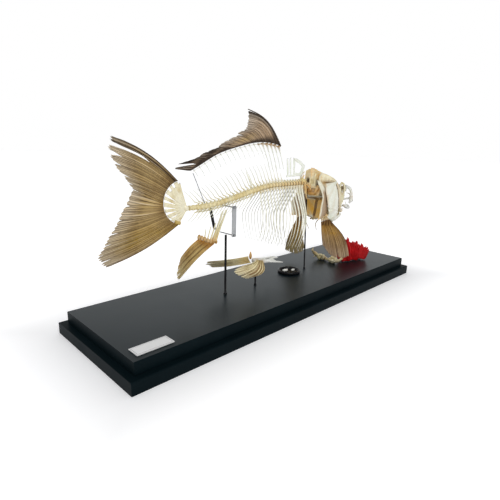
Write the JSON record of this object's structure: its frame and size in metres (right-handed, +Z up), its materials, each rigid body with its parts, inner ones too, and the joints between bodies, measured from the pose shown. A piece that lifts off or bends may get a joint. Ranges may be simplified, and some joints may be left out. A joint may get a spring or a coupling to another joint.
{
  "type": "mounted fish skeleton",
  "caption": "Carp skeleton mounted on slim posts over a stepped black board, with loose throat bones, red gills, hip bones and a dish of ear bones.",
  "frame": {"origin": "middle of the underside of the lower board", "axes": "+X along the board towards the snout, +Y towards the fish's left side, +Z up"},
  "size_m": [0.474, 0.146, 0.2256],
  "materials": {
    "board": "satin black painted wood",
    "label": "matt white, blank",
    "rod": "satin black",
    "steel": "brushed",
    "wire": "drawn",
    "backbone": "dry bone, olive yellow",
    "fused_vertebrae": "dry bone, amber",
    "pale_bone": "dry bone, pale",
    "rib_bone": "dry bone, cream",
    "skull": "dry bone, golden",
    "gill_cover": "dry bone, white and slightly glossy",
    "cheek_bone": "dry bone, pale",
    "amber_bone": "dry bone, amber",
    "white_bone": "dry bone, white",
    "tail_fin": "dried fin, brown to olive gold",
    "back_fin": "dried fin, dark brown",
    "golden_fin": "dried fin, golden brown",
    "shoulder_fin": "dried fin, brown",
    "throat_bone": "dry bone, ivory",
    "gill": "glossy red",
    "dish": "satin black"
  },
  "bodies": {
    "root": {"base_lower_board": "board", "base_upper_board": "board", "label_plate": "label", "post_rear": "rod", "post_front": "rod", "post_pelvic": "rod", "anal_strut": "rod", "bracket": "steel", "dorsal_wire": "wire", "trunk_vertebrae": "backbone", "tail_vertebrae": "backbone", "weberian_vertebrae": "fused_vertebrae", "supraneurals": "pale_bone", "ribs_left": "rib_bone", "ribs_right": "rib_bone", "braincase": "skull", "opercle_left": "gill_cover", "opercle_right": "gill_cover", "subopercle_left": "gill_cover", "subopercle_right": "gill_cover", "preopercle_left": "pale_bone", "preopercle_right": "pale_bone", "jaw_arch_left": "amber_bone", "jaw_arch_right": "amber_bone", "interopercle_left": "gill_cover", "interopercle_right": "gill_cover", "cheek_left": "cheek_bone", "cheek_right": "cheek_bone", "upper_jaw": "white_bone", "lower_jaw": "white_bone", "hyoid_arch": "pale_bone", "cleithrum_left": "amber_bone", "cleithrum_right": "amber_bone", "tail_fin_upper": "tail_fin", "tail_fin_lower": "tail_fin", "tail_fan": "backbone", "back_fin": "back_fin", "back_fin_stays": "pale_bone", "anal_fin": "golden_fin", "anal_fin_stays": "backbone", "pectoral_fin_left": "shoulder_fin", "pectoral_fin_right": "shoulder_fin", "hip_bone_left": "pale_bone", "hip_bone_right": "pale_bone", "pelvic_fin_left": "golden_fin", "pelvic_fin_right": "golden_fin", "pelvic_spike": "backbone", "throat_bone_left": "throat_bone", "throat_bone_right": "throat_bone", "gill_arches": "gill", "specimen_dish": "dish", "ear_bone_large": "white_bone", "ear_bone_small": "white_bone"}
  },
  "joints": []
}
